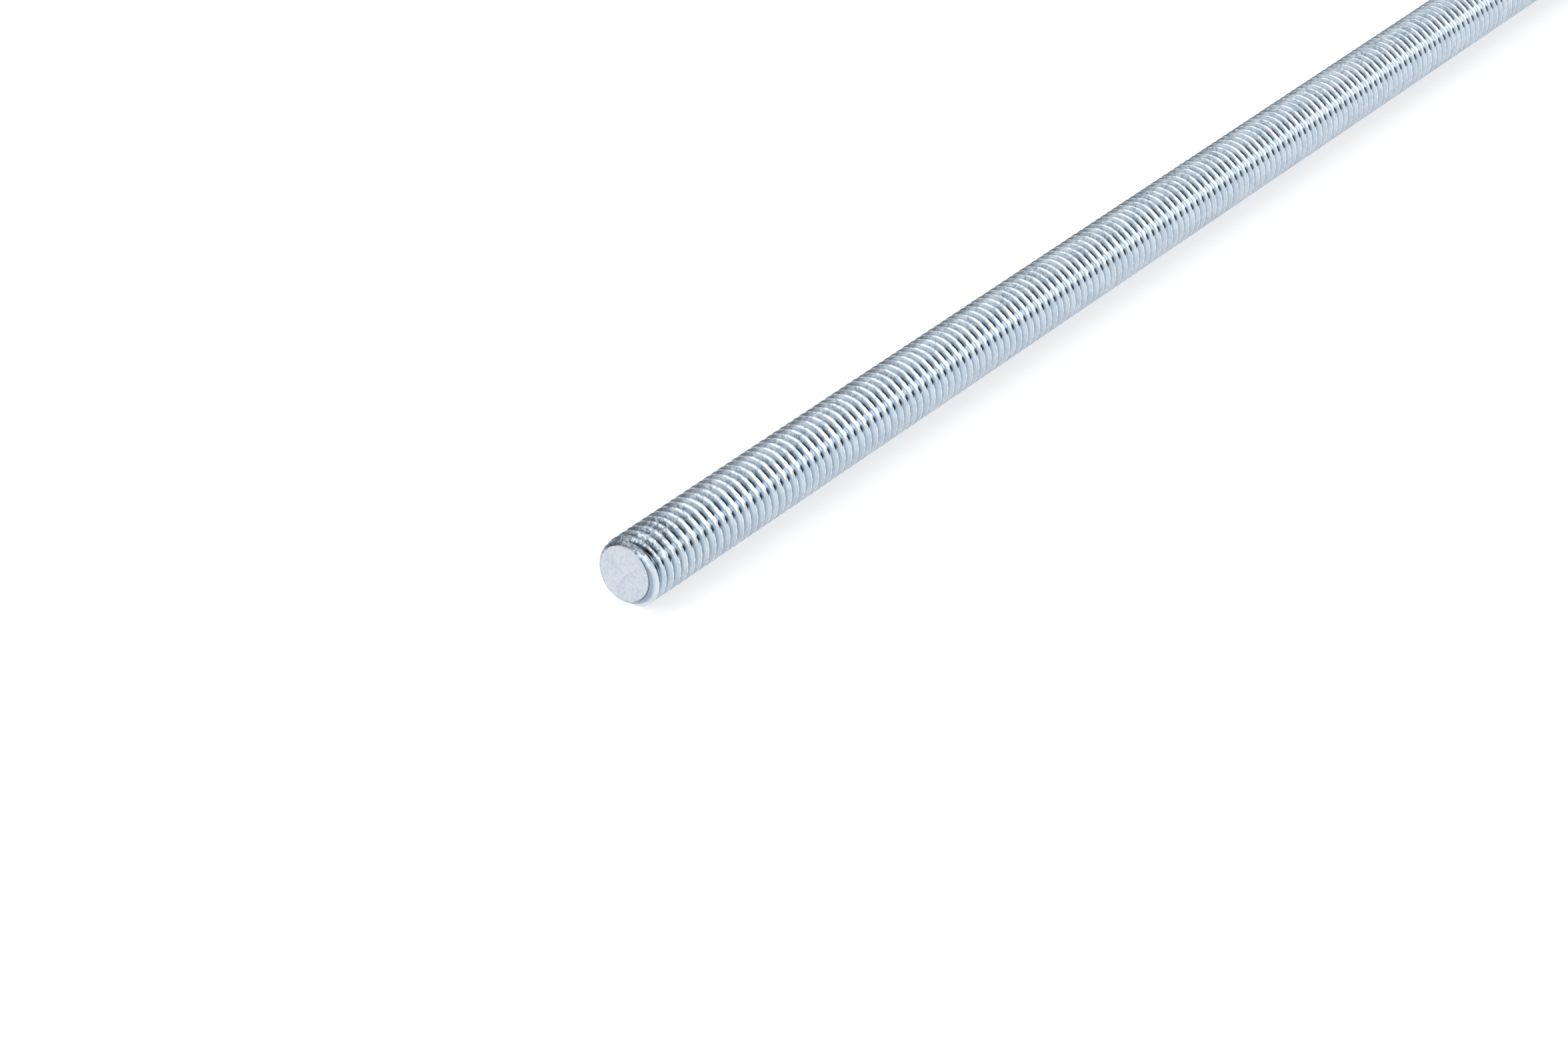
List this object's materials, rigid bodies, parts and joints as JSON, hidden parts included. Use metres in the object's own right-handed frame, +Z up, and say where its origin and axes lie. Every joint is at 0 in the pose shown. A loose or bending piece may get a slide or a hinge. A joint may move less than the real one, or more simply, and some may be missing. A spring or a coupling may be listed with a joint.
{
  "type": "threaded rod",
  "caption": "Long straight steel rod with a coarse right-hand thread over its whole length and a small chamfer on each flat end, for nuts and tapped holes.",
  "frame": {"origin": "centre of the near end face, on the rod's axis", "axes": "+X along the rod from the near end to the far end, +Z up as the rod lies, +Y to the side"},
  "size_m": [1, 0.008, 0.008],
  "materials": {
    "zinc_plated_steel": "bright blue-white zinc plating on rolled steel, semi-gloss, with faint mottling"
  },
  "bodies": {
    "root": {"threaded_rod": "zinc_plated_steel"}
  },
  "joints": []
}
